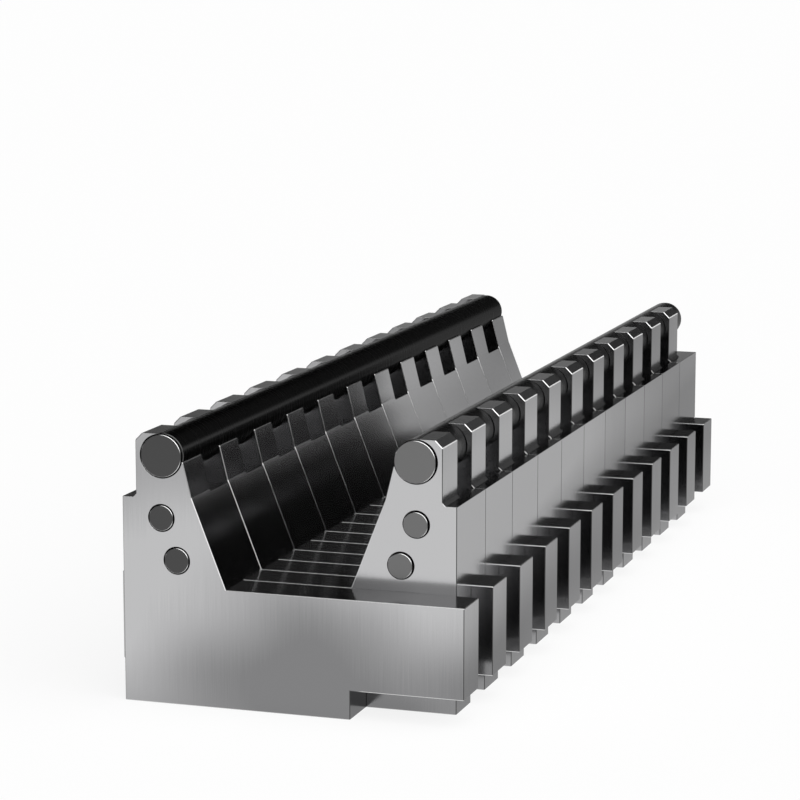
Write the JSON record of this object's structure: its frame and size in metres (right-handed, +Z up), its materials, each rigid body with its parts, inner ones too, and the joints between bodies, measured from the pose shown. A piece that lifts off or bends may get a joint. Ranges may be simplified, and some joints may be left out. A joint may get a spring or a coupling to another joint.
{
  "type": "press brake v die",
  "caption": "Adjustable lower V die: interleaved combs of L-shaped steel plates slide across the bed to set the V, with a roller along the top of each comb.",
  "frame": {"origin": "on the bed of the press, midway between the two roller axes and at the middle of the die's length", "axes": "+X across the V towards the right comb, +Y along the die away from the end in the picture, +Z up"},
  "size_m": [0.3086, 0.9216, 0.2235],
  "materials": {
    "plate_steel": "finely ground, satin",
    "tie_rod_steel": "turned, dark oiled",
    "roller_steel": "hardened and ground, dark"
  },
  "bodies": {
    "left_comb": {"left_plate_01": "plate_steel", "left_plate_02": "plate_steel", "left_plate_03": "plate_steel", "left_plate_04": "plate_steel", "left_plate_05": "plate_steel", "left_plate_06": "plate_steel", "left_plate_07": "plate_steel", "left_plate_08": "plate_steel", "left_plate_09": "plate_steel", "left_plate_10": "plate_steel", "left_plate_11": "plate_steel", "left_plate_12": "plate_steel", "left_upper_tie_rod": "tie_rod_steel", "left_lower_tie_rod": "tie_rod_steel"},
    "right_comb": {"right_plate_01": "plate_steel", "right_plate_02": "plate_steel", "right_plate_03": "plate_steel", "right_plate_04": "plate_steel", "right_plate_05": "plate_steel", "right_plate_06": "plate_steel", "right_plate_07": "plate_steel", "right_plate_08": "plate_steel", "right_plate_09": "plate_steel", "right_plate_10": "plate_steel", "right_plate_11": "plate_steel", "right_upper_tie_rod": "tie_rod_steel", "right_lower_tie_rod": "tie_rod_steel"},
    "left_roller": {"left_roller": "roller_steel"},
    "right_roller": {"right_roller": "roller_steel"}
  },
  "joints": [
    {"name": "opening_slide", "type": "slide", "parent": "left_comb", "child": "right_comb", "axis": [1, 0, 0], "range_m": [-0.083, 0.017]},
    {"name": "left_roller_spin", "type": "hinge", "parent": "left_comb", "child": "left_roller", "pos_m": [-0.10125, 0, 0.2055], "axis": [0, 1, 0], "continuous": true},
    {"name": "right_roller_spin", "type": "hinge", "parent": "right_comb", "child": "right_roller", "pos_m": [0.10125, 0, 0.2055], "axis": [0, 1, 0], "continuous": true}
  ]
}
